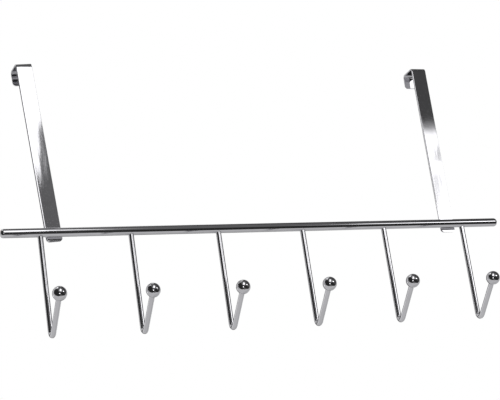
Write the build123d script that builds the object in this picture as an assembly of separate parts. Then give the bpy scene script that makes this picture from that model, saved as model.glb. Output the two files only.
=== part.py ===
from build123d import *
import math
import os

# Over-door hook rack: a round rail carried by two flat hangers that fold over the top of a door,
# with a row of bent-wire hooks welded under the rail and a ball on the tip of each hook.
# Millimetres. X runs along the rail, Y points into the door, Z points up.
# The origin is the door's top front edge, midway between the hangers.

# Rail
rail_diameter = 8.0
rail_rim_round = 2.0        # rounding of the rims at both rail ends
left_overhang = 35.4        # rail past the outermost hook, left end
right_overhang = 38.1       # the same at the right end

# Hooks
hook_count = 6
hook_pitch = 82.5
wire_diameter = 4.8
stem_drop = 98.6            # rail axis down to the sharp corner of the wire's centreline
hook_reach = 39.4           # stem axis forward to the ball's centre
tip_rise = 31.5             # that sharp corner up to the ball's centre
wire_bend_radius = 4.8      # of the wire's centreline
weld_fillet = 1.0           # weld metal round the head of each stem

# Balls
ball_diameter = 12.7
socket_depth = 4.5          # how far the wire enters the ball

# Hangers
hanger_inset = 13.15        # outermost hook in to the hanger beside it, along the rail
strap_width = 14.7
strap_thickness = 1.5
strap_bend_radius = 2.0     # inside radius of both folds
strap_corner_radius = 3.0   # corners of the lip and of the tab
strap_edge_round = 0.4      # softened long edges
door_gap = 16.6             # room for the door between the strap and the lip
hanger_drop = 161.0         # door's top edge down to the rail axis
lip_length = 12.4           # down the lip's inner face from the door's top edge
lip_flare = 3.0             # degrees that the lip opens away from the door
tab_length = 7.2            # strap's lower end below the rail axis
weld_setdown = 0.3          # depth the rail is pressed into the strap when welded
left_hanger_skew = 3.6      # degrees that the left hanger leans outwards
right_hanger_skew = 0.0     # degrees that the right hanger leans outwards

# Largest share of the room at an edge that a rounding may take, so that some flat is always left
round_share = 0.9

# Worked-out sizes
rail_radius = rail_diameter / 2
wire_radius = wire_diameter / 2
ball_radius = ball_diameter / 2
hook_span = hook_pitch * (hook_count - 1)
hanger_x = hook_span / 2 - hanger_inset
rail_left = -hook_span / 2 - left_overhang
rail_right = hook_span / 2 + right_overhang
rail_y = weld_setdown - strap_thickness - rail_radius
rail_z = -hanger_drop
corner_z = rail_z - stem_drop
ball_y = rail_y - hook_reach
ball_z = corner_z + tip_rise
prong_slope = math.atan2(tip_rise, hook_reach)
wire_end_gap = ball_radius - socket_depth
wire_end_y = ball_y + wire_end_gap * math.cos(prong_slope)
wire_end_z = ball_z - wire_end_gap * math.sin(prong_slope)


def rail_rod(left, right):
    """A plain round rod on the rail's axis, from one X to another."""
    rod = Cylinder(rail_radius, right - left, rotation=(0, 90, 0))
    return Pos((left + right) / 2, rail_y, rail_z) * rod


def make_rail():
    """The rail with its two end rims rounded over."""
    rod = rail_rod(rail_left, rail_right)
    rims = rod.edges().filter_by(GeomType.CIRCLE)
    return fillet(rims, min(rail_rim_round, round_share * rail_radius))


def make_hook(x):
    """One bent wire: stem, tight bend and rising prong, with its head welded under the rail."""
    path = FilletPolyline(
        (x, rail_y, rail_z),
        (x, rail_y, corner_z),
        (x, wire_end_y, wire_end_z),
        radius=wire_bend_radius,
    )
    section = Plane(origin=path @ 0, z_dir=path % 0) * Circle(wire_radius)
    wire = sweep(section, path)
    weld_radius = min(weld_fillet, round_share * (rail_radius - wire_radius))
    seat = rail_rod(x - rail_diameter, x + rail_diameter)
    joined = wire + seat
    seam = [edge for edge in joined.edges() if edge.geom_type not in (GeomType.LINE, GeomType.CIRCLE)]
    return fillet(seam, weld_radius) - seat


def make_ball(x):
    """A ball drilled for the end of its hook's wire."""
    towards_bend = (0, math.cos(prong_slope), -math.sin(prong_slope))
    mouth = Plane(origin=(x, wire_end_y, wire_end_z), z_dir=towards_bend)
    socket = mouth * extrude(Circle(wire_radius), ball_diameter)
    return Pos(x, ball_y, ball_z) * Sphere(ball_radius) - socket


def strap_side_view():
    """The folded strap seen from its edge: tab, long run, bridge over the door and lip."""
    tab_end = rail_z - tab_length
    lean = math.radians(lip_flare)
    lip_end = Vector(door_gap + lip_length * math.sin(lean), -lip_length * math.cos(lean))
    outer_corner = door_gap + strap_thickness * (1 - math.sin(lean)) / math.cos(lean)
    outer = FilletPolyline(
        (-strap_thickness, tab_end),
        (-strap_thickness, strap_thickness),
        (outer_corner, strap_thickness),
        lip_end + Vector(math.cos(lean), math.sin(lean)) * strap_thickness,
        radius=strap_bend_radius + strap_thickness,
    )
    inner = FilletPolyline(
        (0, tab_end),
        (0, 0),
        (door_gap, 0),
        lip_end,
        radius=strap_bend_radius,
    )
    tab_edge = Line(outer @ 0, inner @ 0)
    lip_edge = Line(outer @ 1, inner @ 1)
    return make_face(outer.edges() + inner.edges() + [tab_edge, lip_edge])


def end_edges(strap):
    """The short edges that run through the strap's thickness at its two ends."""
    low = strap.edges().filter_by(lambda edge: edge.center().Z < -lip_length / 2)
    return low.filter_by(lambda edge: abs(edge.tangent_at(0).Y) > math.sqrt(1 / 2))


def make_hanger(x, lean):
    """One folded strap with rounded ends, turned by lean about its crossing with the rail."""
    strap = extrude(Plane.YZ * strap_side_view(), strap_width / 2, both=True)
    strap = fillet(end_edges(strap), min(strap_corner_radius, round_share * strap_width / 2))
    fold_lines = strap.edges().filter_by(Axis.X).filter_by(lambda edge: edge.center().Z > -lip_length / 2)
    rims = strap.edges() - fold_lines - end_edges(strap)
    strap = fillet(rims, min(strap_edge_round, round_share * strap_thickness / 2))
    strap = Pos(x, 0, rail_z) * Rot(0, lean, 0) * Pos(0, 0, -rail_z) * strap
    return strap - rail_rod(rail_left, rail_right)


hook_places = [hook_pitch * (i - (hook_count - 1) / 2) for i in range(hook_count)]

pieces = {"rail": make_rail()}
pieces["left_hanger"] = make_hanger(-hanger_x, -left_hanger_skew)
pieces["right_hanger"] = make_hanger(hanger_x, right_hanger_skew)
for number, x in enumerate(hook_places, start=1):
    pieces[f"hook_{number}"] = make_hook(x)
    pieces[f"hook_ball_{number}"] = make_ball(x)

os.makedirs("parts", exist_ok=True)
for name, piece in pieces.items():
    export_step(piece, f"parts/{name}.step")
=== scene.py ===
import math

import bmesh
import bpy
from mathutils import Matrix, Vector


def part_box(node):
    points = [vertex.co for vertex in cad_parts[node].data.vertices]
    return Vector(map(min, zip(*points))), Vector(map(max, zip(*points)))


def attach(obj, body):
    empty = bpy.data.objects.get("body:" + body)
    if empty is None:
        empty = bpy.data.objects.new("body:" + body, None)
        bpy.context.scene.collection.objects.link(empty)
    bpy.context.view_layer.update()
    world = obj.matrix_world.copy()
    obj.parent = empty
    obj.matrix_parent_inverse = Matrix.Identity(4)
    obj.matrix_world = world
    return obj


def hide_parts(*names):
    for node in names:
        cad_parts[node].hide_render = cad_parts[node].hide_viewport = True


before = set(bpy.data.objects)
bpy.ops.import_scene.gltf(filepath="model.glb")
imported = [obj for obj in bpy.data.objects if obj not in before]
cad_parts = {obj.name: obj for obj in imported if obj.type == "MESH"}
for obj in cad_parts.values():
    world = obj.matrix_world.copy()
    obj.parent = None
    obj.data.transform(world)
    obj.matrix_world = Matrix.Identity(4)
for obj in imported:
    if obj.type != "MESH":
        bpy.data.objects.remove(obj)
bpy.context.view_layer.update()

# Camera, in metres and degrees: it stands left of the rack and below it, and is rolled a little
IMAGE_WIDTH = 500           # pixels
FOCAL_PIXELS = 1783.3       # focal length in those pixels
SENSOR_WIDTH = 36.0         # millimetres
CAMERA_TURN = 23.06
CAMERA_RISE = 18.09
CAMERA_ROLL = 8.48
CAMERA_DISTANCE = 1.6272
CAMERA_TARGET = Vector((-0.0061, -0.0052, -0.1341))

# Rack, in metres and degrees: sizes of the bent and rounded forms. Places come from the frame.
RAIL_RIM = 0.0032           # rounding of the rims at both rail ends
WIRE_RADIUS = 0.0024
WIRE_BEND = 0.0048          # radius of the wire's middle line
STEM_DROP = 0.0986          # rail's axis down to the sharp corner of the wire's middle line
WELD_FLARE = 0.0003         # weld metal round the head of each stem
STRAP_WIDTH = 0.0147
STRAP_THICKNESS = 0.0015
STRAP_BEND = 0.002          # inside radius of both folds
STRAP_CORNER = 0.003        # corners of the lip and of the tab
STRAP_ROLL = (0.0012, 0.00045)      # left front edge: rounding across the strap and through it
STRAP_EDGE = (0.00025, 0.00025)     # the same for the other three long edges
DOOR_GAP = 0.0166           # between the strap and the lip
LIP_LENGTH = 0.0124
LIP_FLARE = 3.0             # degrees that the lip opens away from the door
TAB_LENGTH = 0.0072         # strap's lower end below the rail's axis
LEFT_LEAN = 3.6             # degrees that the left hanger leans outwards
RIGHT_LEAN = 0.0            # the same for the right hanger

# Fineness of the meshes: points round a ring, and steps along a stretch or round an arc
RAIL_SPOKES = 96
WIRE_SPOKES = 48
BEND_STEPS = 14
RAIL_STEPS = 24
WELD_STEPS = 10
STEM_STEPS = 12
PRONG_STEPS = 8
RUN_STEPS = 60
BRIDGE_STEPS = 5
TIP_STEPS = 5
CORNER_STEPS = 9
EDGE_STEPS = 10
FACE_STEPS = 10
HELD = 0.0001               # metres from the end of a rounding to the ring that keeps the rest straight

# Chrome: two tints, roughness from least to most, waves to the metre along X, Y and Z, depths in metres
CHROME_TINTS = [(0.60, 0.597, 0.62), (0.65, 0.647, 0.67)]
ROD_GLOSS = (0.032, 0.048)
STRAP_GLOSS = (0.035, 0.045)
NOISE_SPAN = (0.3, 0.7)     # values of the noise between which tint and roughness change
CLOUD_WAVES = (60.0, 60.0, 60.0)
CLOUD_DETAIL = 3.0
SMEAR_WAVES = (120.0, 120.0, 40.0)
SMEAR_DETAIL = 2.0
ROLL_WAVES = (90.0, 90.0, 14.0)
ROLL_DETAIL = 2.0
ROLL_SHIFT = (3.7, 1.3, 2.9)
ROLL_DEPTH = 0.00003
GRAIN_WAVES = (1500.0, 1500.0, 500.0)
GRAIN_DETAIL = 1.0
GRAIN_DEPTH = 0.0000008

# Floor, tent and fold flags of the studio, in metres
WHITE = (1.0, 1.0, 1.0, 1.0)
FLOOR_HEIGHT = -2.0
FLOOR_SIZE = 80.0
FLOOR_COLOUR = (0.95, 0.95, 0.955, 1.0)
FLOOR_ROUGHNESS = 0.9
STAGE_CENTRE = Vector((0.0, -0.02, -0.18))
TENT_RADIUS = 3.4
TENT_DEPTH = 1.78           # of the lower half, which ends above the floor
TENT_GLOW = 0.67
TENT_SEGMENTS = 64
TENT_RINGS = 32
FLAG_LEFT, FLAG_RIGHT = 0.02, 0.08
FLAG_FRONT, FLAG_BACK = -0.06, 0.20
FLAG_LOW, FLAG_HIGH = 0.0235, 0.10

# Panels of light: the upright planes that they stand in, as Y in metres
PANEL_FRONT = -1.0
DIMMER_FRONT = -0.99
PANEL_BACK = 1.0

# Cards curved about the rack: their fineness, and outlines as azimuth and elevation in degrees
CARD_RINGS = 10
CARD_STEPS = 6
OVAL_POINTS = 12
ROOM = [(-36, -62), (-62, -47), (-86, -28), (-108, 5), (-114, 40), (-69, 59), (100, 84), (140, 70),
        (146, 50), (124, 27), (99, 2), (76, -34), (40, -45), (23, -54)]
WALL_CORNER = [(24, 4), (26, 19), (30, 30), (46, 42), (62, 64), (98, 79)]
ROOM_WALL = [(-28, 4), (-40, 30), (-60, 54), *reversed(WALL_CORNER), (0, -2)]
RIGHT_WALL = [*WALL_CORNER, (106, 50), (117, 27), (98, 4), (70, -18), (42, -8)]
BACK_FLAG = [(154, 12), (152, -14), (158, -30), (174, -30), (-172, -16), (-156, 4), (-156, 24),
             (-166, 38), (180, 42), (164, 34)]
UNDERSIDE = [(85, -78), (84, -60), (86, -42), (94, -20), (112, -8), (135, -15), (160, -28), (178, -50),
             (-170, -80)]


def new_material(name):
    """An empty node material, with its node tree and its output node."""
    material = bpy.data.materials.new(name)
    material.use_nodes = True
    material.node_tree.nodes.clear()
    output = material.node_tree.nodes.new("ShaderNodeOutputMaterial")
    return material, material.node_tree, output


def mesh_object(name, vertices, faces):
    """A new mesh object in the scene."""
    mesh = bpy.data.meshes.new(name)
    mesh.from_pydata(vertices, [], faces)
    mesh.update()
    made = bpy.data.objects.new(name, mesh)
    bpy.context.scene.collection.objects.link(made)
    return made


def even(first, last, steps):
    """Evenly spaced numbers from first to last."""
    return [first + (last - first) * step / steps for step in range(steps + 1)]


def full_turn(points):
    """Angles of that many points round a circle."""
    return even(0, 2 * math.pi, points)[:-1]


def quarter_turn(steps):
    """Angles from nothing to a quarter of a circle."""
    return even(0, math.pi / 2, steps)


def band(near, far, count):
    """Faces between two closed rings of points, given by the number of each ring's first point."""
    faces = []
    for spoke in range(count):
        following = (spoke + 1) % count
        faces.append((near + spoke, far + spoke, far + following, near + following))
    return faces


def loft(name, rings):
    """A closed smooth skin over a row of rings of points, with a flat cap at each end."""
    count = len(rings[0])
    vertices = [point for ring in rings for point in ring]
    last = len(vertices) - count
    faces = [tuple(range(count))]
    for start in range(0, last, count):
        faces += band(start, start + count, count)
    faces.append(tuple(range(last, last + count)))
    piece = mesh_object(name, vertices, faces)
    skin = bmesh.new()
    skin.from_mesh(piece.data)
    bmesh.ops.recalc_face_normals(skin, faces=skin.faces)
    for face in skin.faces:
        face.smooth = True
    skin.to_mesh(piece.data)
    skin.free()
    return piece


def dress(piece, node, material):
    """The piece takes a CAD node's place on the rack."""
    piece.data.materials.append(material)
    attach(piece, "root")
    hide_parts(node)


def rail_axis():
    """Middle of the rail and its radius."""
    low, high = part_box("rail")
    return (low + high) / 2, (high.z - low.z) / 2


def make_rail(material):
    """Round rod with rounded rims, turned about its axis."""
    low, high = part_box("rail")
    middle, radius = rail_axis()
    rim = [(RAIL_RIM * (1 - math.cos(angle)), radius - RAIL_RIM * (1 - math.sin(angle)))
           for angle in quarter_turn(BEND_STEPS)]
    straight = even(low.x + RAIL_RIM + HELD, high.x - RAIL_RIM - HELD, RAIL_STEPS)
    stations = [(low.x + inset, size) for inset, size in rim]
    stations += [(x, radius) for x in straight]
    stations += [(high.x - inset, size) for inset, size in reversed(rim)]
    rings = []
    for x, size in stations:
        rings.append([Vector((x, middle.y + size * math.cos(angle), middle.z + size * math.sin(angle)))
                      for angle in full_turn(RAIL_SPOKES)])
    dress(loft("rail_rod", rings), "rail", material)


def make_hook(number, material):
    """Bent wire: a welded head that flares on to the rail, a stem, a bend and a prong up to its ball."""
    rail, rail_radius = rail_axis()
    ball_low, ball_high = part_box(f"hook_ball_{number}")
    ball = (ball_low + ball_high) / 2
    corner = Vector((ball.x, rail.y, rail.z - STEM_DROP))
    prong = (ball - corner).normalized()
    turn = math.pi / 2 + math.asin(prong.z)
    tangent = WIRE_BEND * math.tan(turn / 2)
    angles = full_turn(WIRE_SPOKES)
    across, back = Vector((1, 0, 0)), Vector((0, 1, 0))

    def under_rail(size, angle):
        return -math.sqrt(rail_radius ** 2 - (size * math.sin(angle)) ** 2)

    def head_ring(size, drop):
        return [Vector((ball.x + size * math.cos(angle), rail.y + size * math.sin(angle),
                        rail.z + under_rail(size, angle) - drop)) for angle in angles]

    def wire_ring(centre, outward):
        return [centre + WIRE_RADIUS * (across * math.cos(angle) + outward * math.sin(angle))
                for angle in angles]

    def bend_outward(angle):
        return Vector((0, math.cos(angle), -math.sin(angle)))

    rings = []
    for swing in even(math.pi / 2, 0, WELD_STEPS):
        rings.append(head_ring(WIRE_RADIUS + WELD_FLARE * (1 - math.cos(swing)),
                               WELD_FLARE * (1 - math.sin(swing))))
    rings.append(head_ring(WIRE_RADIUS, WELD_FLARE + HELD))
    bend_top = corner + Vector((0, 0, tangent))
    stem_top = rail.z - rail_radius - 2 * WELD_FLARE
    for z in even(stem_top, bend_top.z + HELD, STEM_STEPS):
        rings.append(wire_ring(Vector((ball.x, rail.y, z)), back))
    bend_centre = bend_top - back * WIRE_BEND
    for angle in even(0, turn, 2 * BEND_STEPS):
        outward = bend_outward(angle)
        rings.append(wire_ring(bend_centre + outward * WIRE_BEND, outward))
    bend_end = corner + prong * (tangent + HELD)
    for share in even(0, 1, PRONG_STEPS):
        rings.append(wire_ring(bend_end.lerp(ball, share), bend_outward(turn)))
    dress(loft(f"hook_wire_{number}", rings), f"hook_{number}", material)


def dress_ball(number, material):
    """The CAD ball itself, in chrome."""
    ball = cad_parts[f"hook_ball_{number}"]
    ball.data.materials.clear()
    ball.data.materials.append(material)


def end_insets():
    """Distances from an end of the strap at which its softened edge and its round corners need a ring."""
    edge = STRAP_EDGE[1]
    tip = [edge * (1 - math.cos(angle)) for angle in quarter_turn(TIP_STEPS)]
    corner = [STRAP_CORNER * (1 - math.cos(angle)) for angle in quarter_turn(CORNER_STEPS)]
    return tip + [edge + HELD] + [inset for inset in corner if inset > 2 * edge]


def strap_path(rail_z):
    """Middle line of the folded strap: places in its own plane, outward directions and length so far."""
    half = STRAP_THICKNESS / 2
    fold = STRAP_BEND + half
    tab_end = rail_z - TAB_LENGTH
    front, top, back = Vector((0, -1, 0)), Vector((0, 0, 1)), Vector((0, 1, 0))
    line = [(Vector((0, -half, tab_end + inset)), front) for inset in end_insets()]
    run = even(tab_end + 2 * STRAP_CORNER, -STRAP_BEND - HELD, RUN_STEPS)
    line += [(Vector((0, -half, z)), front) for z in run]
    turn = math.pi / 2 - math.radians(LIP_FLARE)
    tangent = STRAP_BEND * math.tan(turn / 2)
    first = Vector((0, STRAP_BEND, -STRAP_BEND))
    second = Vector((0, DOOR_GAP - tangent, -STRAP_BEND))
    for angle in quarter_turn(BEND_STEPS):
        outward = front * math.cos(angle) + top * math.sin(angle)
        line.append((first + outward * fold, outward))
    for y in even(STRAP_BEND + HELD, second.y - HELD, BRIDGE_STEPS):
        line.append((Vector((0, y, half)), top))
    for angle in even(0, turn, BEND_STEPS):
        outward = top * math.cos(angle) + back * math.sin(angle)
        line.append((second + outward * fold, outward))
    lip_outward = top * math.cos(turn) + back * math.sin(turn)
    lip_top = Vector((0, DOOR_GAP, 0)) + lip_outward * half
    down_lip = Vector((0, math.cos(turn), -math.sin(turn)))
    line.append((lip_top + down_lip * (tangent + HELD), lip_outward))
    for inset in reversed(end_insets()):
        line.append((lip_top + down_lip * (LIP_LENGTH - inset), lip_outward))
    lengths = [0.0]
    for (place, _), (following, _) in zip(line[:-1], line[1:]):
        lengths.append(lengths[-1] + (following - place).length)
    return [(place, outward, length) for (place, outward), length in zip(line, lengths)]


def rounded(full, radius, distance):
    """Half size of the strap at a distance from its end, where rounding of that radius narrows it."""
    if distance >= radius:
        return full
    return full - radius + math.sqrt(max(radius ** 2 - (radius - distance) ** 2, 0.0))


def strap_ring(wide, thick):
    """Section of the strap, clockwise from its right front edge: one edge is rolled, three are crisp."""

    def corner(roll):
        across, through = roll
        return [(wide - across * (1 - math.sin(angle)), thick - through * (1 - math.cos(angle)))
                for angle in quarter_turn(EDGE_STEPS)]

    def flat(first, last):
        step = math.copysign(HELD, last - first)
        return [first + step] + even(first, last, FACE_STEPS)[1:-1] + [last - step]

    crisp, rolled = corner(STRAP_EDGE), corner(STRAP_ROLL)
    side_low, side_high = crisp[-1][1], rolled[-1][1]
    right = crisp + [(wide, side_low - HELD), (wide, HELD - side_low)]
    right += [(across, -out) for across, out in reversed(crisp)]
    back = [(across, -thick) for across in flat(crisp[0][0], -crisp[0][0])]
    left = [(-across, -out) for across, out in crisp]
    left += [(-wide, HELD - side_low), (-wide, side_high - HELD)]
    left += [(-across, out) for across, out in reversed(rolled)]
    front = [(across, thick) for across in flat(-rolled[0][0], crisp[0][0])]
    return right + back + left + front


def make_hanger(side, x, lean, material):
    """Flat strap with rounded ends, folded over the door and turned by lean at the rail."""
    rail, _ = rail_axis()
    path = strap_path(rail.z)
    total = path[-1][2]
    pivot = Vector((x, 0, rail.z))
    turn = Matrix.Rotation(math.radians(lean), 3, "Y")
    rings = []
    for place, outward, length in path:
        to_end = min(length, total - length)
        section = strap_ring(rounded(STRAP_WIDTH / 2, STRAP_CORNER, to_end),
                             rounded(STRAP_THICKNESS / 2, STRAP_EDGE[1], to_end))
        centre = place - Vector((0, 0, rail.z))
        rings.append([pivot + turn @ (centre + Vector((across, 0, 0)) + outward * out)
                      for across, out in section])
    dress(loft(f"{side}_strap", rings), f"{side}_hanger", material)


def noise(tree, waves, detail, shift=(0.0, 0.0, 0.0)):
    """Noise over a piece, with its own number of waves to the metre along each axis."""
    place = tree.nodes.new("ShaderNodeTexCoord")
    mapping = tree.nodes.new("ShaderNodeMapping")
    mapping.inputs["Location"].default_value = shift
    mapping.inputs["Scale"].default_value = waves
    tree.links.new(place.outputs["Object"], mapping.inputs["Vector"])
    texture = tree.nodes.new("ShaderNodeTexNoise")
    texture.inputs["Scale"].default_value = 1.0
    texture.inputs["Detail"].default_value = detail
    tree.links.new(mapping.outputs["Vector"], texture.inputs["Vector"])
    return texture.outputs["Fac"]


def bumps(tree, height, depth, under=None):
    """Normals of a surface that rises and falls by that depth in metres, over the bumps under it."""
    bump = tree.nodes.new("ShaderNodeBump")
    bump.inputs["Strength"].default_value = 1.0
    bump.inputs["Distance"].default_value = depth
    tree.links.new(height, bump.inputs["Height"])
    if under:
        tree.links.new(under, bump.inputs["Normal"])
    return bump.outputs["Normal"]


def chrome_material(name, gloss):
    """Bright chrome plate: a slightly cloudy colour, and a roughness that wanders between two values."""
    material, tree, output = new_material(name)
    shader = tree.nodes.new("ShaderNodeBsdfPrincipled")
    shader.inputs["Metallic"].default_value = 1.0
    tint = tree.nodes.new("ShaderNodeValToRGB")
    for element, position, colour in zip(tint.color_ramp.elements, NOISE_SPAN, CHROME_TINTS):
        element.position = position
        element.color = (*colour, 1.0)
    tree.links.new(noise(tree, CLOUD_WAVES, CLOUD_DETAIL), tint.inputs["Fac"])
    tree.links.new(tint.outputs["Color"], shader.inputs["Base Color"])
    roughness = tree.nodes.new("ShaderNodeMapRange")
    roughness.inputs["From Min"].default_value = NOISE_SPAN[0]
    roughness.inputs["From Max"].default_value = NOISE_SPAN[1]
    roughness.inputs["To Min"].default_value = gloss[0]
    roughness.inputs["To Max"].default_value = gloss[1]
    tree.links.new(noise(tree, SMEAR_WAVES, SMEAR_DETAIL), roughness.inputs["Value"])
    tree.links.new(roughness.outputs["Result"], shader.inputs["Roughness"])
    tree.links.new(shader.outputs["BSDF"], output.inputs["Surface"])
    return material, tree, shader


def rod_chrome_material():
    """Chrome on drawn wire and rod, which is round and even."""
    material, _, _ = chrome_material("rod_chrome", ROD_GLOSS)
    return material


def strap_chrome_material():
    """Chrome on rolled strip: long shallow waves from the rolls, and a fine grain."""
    material, tree, shader = chrome_material("strap_chrome", STRAP_GLOSS)
    waves = bumps(tree, noise(tree, ROLL_WAVES, ROLL_DETAIL, ROLL_SHIFT), ROLL_DEPTH)
    grain = bumps(tree, noise(tree, GRAIN_WAVES, GRAIN_DETAIL), GRAIN_DEPTH, waves)
    tree.links.new(grain, shader.inputs["Normal"])
    return material


def make_camera():
    """Camera that looks up at the rack from its front left."""
    turn, rise, roll = (math.radians(angle) for angle in (CAMERA_TURN, CAMERA_RISE, CAMERA_ROLL))
    forward = Vector((math.sin(turn) * math.cos(rise), math.cos(turn) * math.cos(rise), math.sin(rise)))
    level_right = Vector((math.cos(turn), -math.sin(turn), 0.0))
    level_up = level_right.cross(forward)
    right = level_right * math.cos(roll) - level_up * math.sin(roll)
    up = level_right * math.sin(roll) + level_up * math.cos(roll)
    data = bpy.data.cameras.new("camera")
    data.sensor_fit = "HORIZONTAL"
    data.sensor_width = SENSOR_WIDTH
    data.lens = FOCAL_PIXELS / IMAGE_WIDTH * SENSOR_WIDTH
    camera = bpy.data.objects.new("camera", data)
    bpy.context.scene.collection.objects.link(camera)
    axes = Matrix((right, up, -forward)).transposed().to_4x4()
    camera.matrix_world = Matrix.Translation(CAMERA_TARGET - forward * CAMERA_DISTANCE) @ axes
    bpy.context.scene.camera = camera


def make_world():
    """Even white light from all round, which is the background too."""
    world = bpy.data.worlds.new("studio")
    bpy.context.scene.world = world
    world.use_nodes = True
    tree = world.node_tree
    tree.nodes.clear()
    background = tree.nodes.new("ShaderNodeBackground")
    background.inputs["Color"].default_value = WHITE
    background.inputs["Strength"].default_value = 1.0
    output = tree.nodes.new("ShaderNodeOutputWorld")
    tree.links.new(background.outputs["Background"], output.inputs["Surface"])


def rectangle(left, low, right, high):
    """Corners of a rectangle."""
    return [(left, low), (right, low), (right, high), (left, high)]


def make_floor():
    """Plain pale floor, well below the rack."""
    half = FLOOR_SIZE / 2
    corners = rectangle(-half, -half, half, half)
    floor = mesh_object("floor", [(x, y, FLOOR_HEIGHT) for x, y in corners], [(0, 1, 2, 3)])
    material, tree, output = new_material("floor")
    shader = tree.nodes.new("ShaderNodeBsdfPrincipled")
    shader.inputs["Base Color"].default_value = FLOOR_COLOUR
    shader.inputs["Roughness"].default_value = FLOOR_ROUGHNESS
    tree.links.new(shader.outputs["BSDF"], output.inputs["Surface"])
    floor.data.materials.append(material)


def only_in_reflections(piece):
    """A studio piece that shows in the chrome and nowhere else."""
    piece.visible_camera = False
    piece.visible_diffuse = False
    piece.visible_shadow = False
    piece.visible_transmission = False


def even_glow(name, glow):
    """A plain surface that gives off its own even light."""
    material, tree, output = new_material(name)
    emission = tree.nodes.new("ShaderNodeEmission")
    emission.inputs["Color"].default_value = WHITE
    emission.inputs["Strength"].default_value = glow
    tree.links.new(emission.outputs["Emission"], output.inputs["Surface"])
    return material


def fading_glow(name, axis, stops):
    """A surface whose light changes along one axis: stops are places in metres and the glow there."""
    material, tree, output = new_material(name)
    first, last = stops[0][0], stops[-1][0]
    peak = max(glow for _, glow in stops)
    place = tree.nodes.new("ShaderNodeTexCoord")
    split = tree.nodes.new("ShaderNodeSeparateXYZ")
    tree.links.new(place.outputs["Object"], split.inputs["Vector"])
    share = tree.nodes.new("ShaderNodeMapRange")
    share.inputs["From Min"].default_value = first
    share.inputs["From Max"].default_value = last
    tree.links.new(split.outputs[axis], share.inputs["Value"])
    ramp = tree.nodes.new("ShaderNodeValToRGB")
    midway = 0.5
    while len(ramp.color_ramp.elements) < len(stops):
        ramp.color_ramp.elements.new(midway)
    for element, (at, glow) in zip(ramp.color_ramp.elements, stops):
        element.position = (at - first) / (last - first)
        element.color = (glow / peak, glow / peak, glow / peak, 1.0)
    tree.links.new(share.outputs["Result"], ramp.inputs["Fac"])
    emission = tree.nodes.new("ShaderNodeEmission")
    emission.inputs["Strength"].default_value = peak
    tree.links.new(ramp.outputs["Color"], emission.inputs["Color"])
    tree.links.new(emission.outputs["Emission"], output.inputs["Surface"])
    return material


def studio_piece(name, vertices, faces, material):
    """A piece of the studio, seen only in the chrome."""
    piece = mesh_object(name, vertices, faces)
    piece.data.materials.append(material)
    only_in_reflections(piece)


def direction(azimuth, elevation):
    """Unit vector seen from the rack: azimuth 0 is straight out into the room, positive to the right."""
    turn, rise = math.radians(azimuth), math.radians(elevation)
    return Vector((math.sin(turn) * math.cos(rise), -math.cos(turn) * math.cos(rise), math.sin(rise)))


def studio_card(name, middle, outline, distance, glow):
    """A card curved about the rack at a distance, fanned from its middle out to its outline."""
    centre = direction(*middle)
    rim = []
    for first, last in zip(outline, outline[1:] + outline[:1]):
        rim += [direction(*first).slerp(direction(*last), step / CARD_STEPS)
                for step in range(CARD_STEPS)]
    count = len(rim)
    vertices = [STAGE_CENTRE + centre * distance]
    faces = [(0, 1 + spoke, 1 + (spoke + 1) % count) for spoke in range(count)]
    for ring in range(1, CARD_RINGS + 1):
        vertices += [STAGE_CENTRE + centre.slerp(edge, ring / CARD_RINGS) * distance for edge in rim]
    for ring in range(CARD_RINGS - 1):
        faces += band(1 + ring * count, 1 + (ring + 1) * count, count)
    studio_piece(name, vertices, faces, even_glow(name, glow))


def oval_card(name, middle, half_turn, half_rise, distance, glow):
    """An oval card, given by its middle and half its width and height in degrees."""
    azimuth, elevation = middle
    outline = [(azimuth + half_turn * math.cos(angle), elevation + half_rise * math.sin(angle))
               for angle in full_turn(OVAL_POINTS)]
    studio_card(name, middle, outline, distance, glow)


def light_panel(name, corners, material, y):
    """A flat upright panel in the plane of that y, given by x and z of its corners."""
    studio_piece(name, [(x, y, z) for x, z in corners], [tuple(range(len(corners)))], material)


def even_panel(name, corners, glow):
    """A panel of even light in front of the rack."""
    light_panel(name, corners, even_glow(name, glow), PANEL_FRONT)


def fading_panel(name, corners, axis, stops, y=PANEL_FRONT):
    """A panel whose light changes along one axis."""
    light_panel(name, corners, fading_glow(name, axis, stops), y)


def fold_flag(name, x, glow):
    """A small dark flag bent over the fold of a hanger, which keeps the softboxes off the fold."""
    edges = [(FLAG_FRONT, FLAG_LOW), (FLAG_FRONT, FLAG_HIGH), (FLAG_BACK, FLAG_HIGH)]
    vertices = [(side, y, z) for y, z in edges for side in (x - FLAG_LEFT, x + FLAG_RIGHT)]
    studio_piece(name, vertices, [(0, 1, 3, 2), (2, 3, 5, 4)], even_glow(name, glow))


def make_room():
    """Dark room in front of the rack with dim walls and two lights, and a card behind and one below."""
    studio_card("dark_room", (0, 5), ROOM, distance=2.1, glow=0.028)
    studio_card("room_wall", (8, 30), ROOM_WALL, distance=2.0, glow=0.155)
    studio_card("right_wall", (58, 30), RIGHT_WALL, distance=1.95, glow=0.08)
    oval_card("photographer", (0, -46), half_turn=22, half_rise=13, distance=1.9, glow=0.15)
    oval_card("camera_lamp", (-21, -17), half_turn=6, half_rise=6, distance=1.5, glow=4.0)
    oval_card("top_strip", (-100, 70), half_turn=26, half_rise=6, distance=1.9, glow=2.0)
    studio_card("back_flag", (172, 8), BACK_FLAG, distance=2.2, glow=0.16)
    studio_card("underside", (125, -45), UNDERSIDE, distance=1.8, glow=0.58)


def make_fold_flags():
    """One flag over each hanger's fold."""
    fold_flag("left_fold_flag", x=-0.2, glow=0.13)
    fold_flag("right_fold_flag", x=0.19, glow=0.075)


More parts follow.
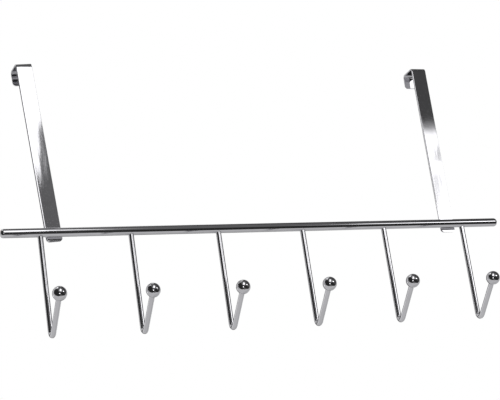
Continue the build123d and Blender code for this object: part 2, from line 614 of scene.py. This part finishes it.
def make_left_light():
    """Left softbox with a tongue at its lower right, a skirt below, a wing and a spill beside it."""
    left, low, right, high = -0.30, 0.24, 0.13, 1.2
    softbox = [(left, low), (0.06, low), (0.07, 0.282), (0.083, 0.280), (0.087, 0.266), (0.0900, 0.244),
               (0.0917, 0.26), (0.0917, 0.30), (0.092, 0.318), (0.0935, 0.334), (0.104, 0.36),
               (right, 0.42), (right, high), (left, high)]
    skirt = [(left, 0.07), (0.04, 0.07), (0.067, low), (left, low)]
    wing = rectangle(-0.46, 0.178, left, 0.40)
    spill = rectangle(right, 0.37, 0.29, high)
    spill_glow = [(right, 2.2), (0.19, 2.0), (0.225, 0.9), (0.29, 0.2)]
    even_panel("left_softbox", softbox, glow=1.9)
    even_panel("left_skirt", skirt, glow=1.8)
    even_panel("left_wing", wing, glow=1.9)
    fading_panel("left_spill", spill, "X", spill_glow)


def make_bands():
    """Two bright bands, one right above the other, beside the left softbox's skirt."""
    left, right = -2, 10
    low, seam, high = 15.0, 16.7, 18.3
    studio_card("high_band", (4, 17.5), rectangle(left, seam, right, high), distance=1.9, glow=3.6)
    studio_card("low_band", (4, 16.0), rectangle(left, low, right, seam), distance=1.9, glow=2.4)


def make_right_light():
    """Right softbox, brightest in its lower part, with an upper part that fades out at its top."""
    left, upper_left, right = 0.46, 0.60, 1.25
    low, seam, fade_start, high = 0.03, 0.20, 0.327, 0.357
    lower_glow = [(left, 0.1), (0.56, 0.9), (0.68, 2.6), (0.80, 4.0), (1.1, 3.6), (right, 1.2)]
    top_glow = [(0.331, 1.75), (0.3386, 0.9), (0.3425, 0.45), (high, 0.1)]
    fading_panel("right_softbox", rectangle(left, low, right, seam), "X", lower_glow)
    even_panel("right_upper", rectangle(upper_left, seam, right, fade_start), glow=1.9)
    fading_panel("right_fade", rectangle(upper_left, fade_start, right, high), "Z", top_glow)


def make_back_light():
    """Two softboxes behind the rack, one on each side, dimmer towards the floor."""
    inner, outer = 0.75, 1.40
    low, high = -0.62, -0.28
    shade = [(low, 0.45), (-0.50, 0.7), (-0.42, 1.3), (high, 1.6)]
    for side, sign in (("left", -1), ("right", 1)):
        corners = rectangle(sign * inner, low, sign * outer, high)
        fading_panel(f"back_{side}_softbox", corners, "Z", shade, PANEL_BACK)


def make_dimmers():
    """Two small patches just in front of the right softbox that take some of its light away."""
    upper = [(0.750, 0.282), (0.766, 0.278), (0.764, 0.310), (0.760, 0.310)]
    upper_glow = [(0.748, 1.9), (0.755, 0.8), (0.761, 0.8), (0.767, 1.9)]
    lower = [(0.741, 0.200), (0.745, 0.200), (0.753, 0.262), (0.744, 0.254)]
    lower_glow = [(0.738, 1.9), (0.744, 0.9), (0.748, 0.9), (0.755, 1.9)]
    fading_panel("upper_dimmer", upper, "X", upper_glow, DIMMER_FRONT)
    fading_panel("lower_dimmer", lower, "X", lower_glow, DIMMER_FRONT)


def make_tent():
    """Pale tent round the rack and its lights, flattened below so that it stays above the floor."""
    bpy.ops.mesh.primitive_uv_sphere_add(segments=TENT_SEGMENTS, ring_count=TENT_RINGS,
                                         radius=TENT_RADIUS, location=STAGE_CENTRE)
    tent = bpy.context.active_object
    tent.name = "tent"
    for vertex in tent.data.vertices:
        if vertex.co.z < 0:
            vertex.co.z *= TENT_DEPTH / TENT_RADIUS
    tent.data.materials.append(even_glow("tent", TENT_GLOW))
    only_in_reflections(tent)


def make_studio():
    """Everything that shows only in the chrome: room, flags, softboxes and the tent round them."""
    make_room()
    make_fold_flags()
    make_left_light()
    make_bands()
    make_right_light()
    make_back_light()
    make_dimmers()
    make_tent()


make_camera()
make_world()
make_floor()
make_studio()
rod_chrome = rod_chrome_material()
strap_chrome = strap_chrome_material()
make_rail(rod_chrome)
hook_count = sum(name.startswith("hook_ball_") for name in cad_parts)
for number in range(1, hook_count + 1):
    make_hook(number, rod_chrome)
    dress_ball(number, rod_chrome)
hanger_x = sum(corner.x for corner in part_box("right_hanger")) / 2
make_hanger("left", -hanger_x, -LEFT_LEAN, strap_chrome)
make_hanger("right", hanger_x, RIGHT_LEAN, strap_chrome)
bpy.context.scene.view_settings.view_transform = "Standard"
